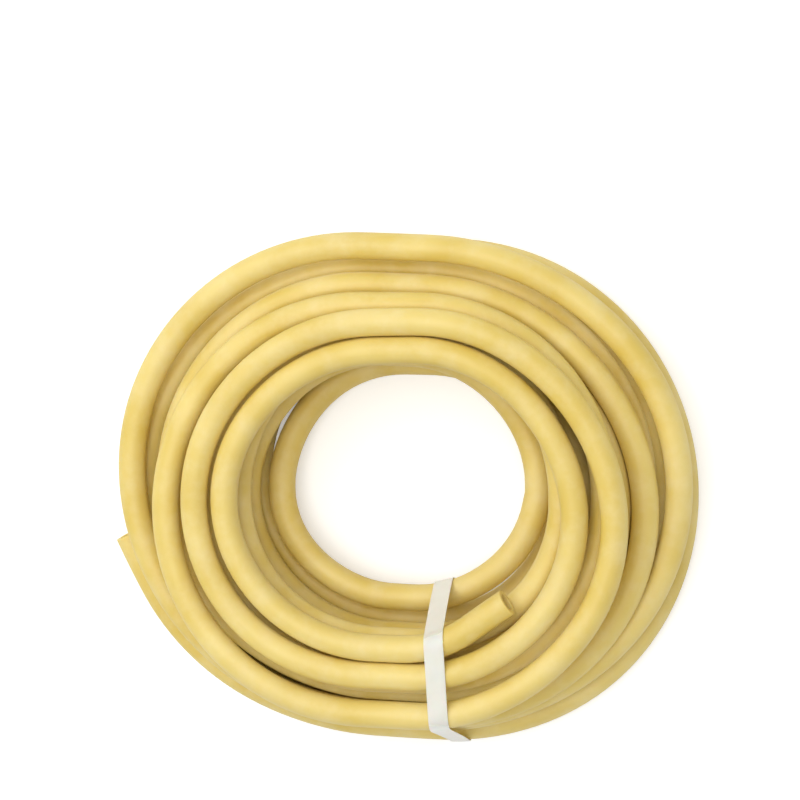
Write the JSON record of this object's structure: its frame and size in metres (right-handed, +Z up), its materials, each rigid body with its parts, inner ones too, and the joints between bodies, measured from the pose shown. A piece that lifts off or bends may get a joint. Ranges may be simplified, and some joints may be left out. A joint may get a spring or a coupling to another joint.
{
  "type": "rubber tubing coil",
  "caption": "Coil of soft amber rubber tubing, wound in flat oval layers with a dished middle and held by one flat white strap; both cut ends are open bores.",
  "frame": {"origin": "centre of the bounding box at its bottom, on the surface that the coil lies on", "axes": "+Z up, through the eye of the coil; +X along the coil's long way; the strap crosses the front, towards -Y"},
  "size_m": [0.2002, 0.1765, 0.0474],
  "materials": {
    "latex": "satin",
    "strap_film": "satin"
  },
  "bodies": {
    "root": {"rubber_tubing": "latex", "strap": "strap_film"}
  },
  "joints": []
}
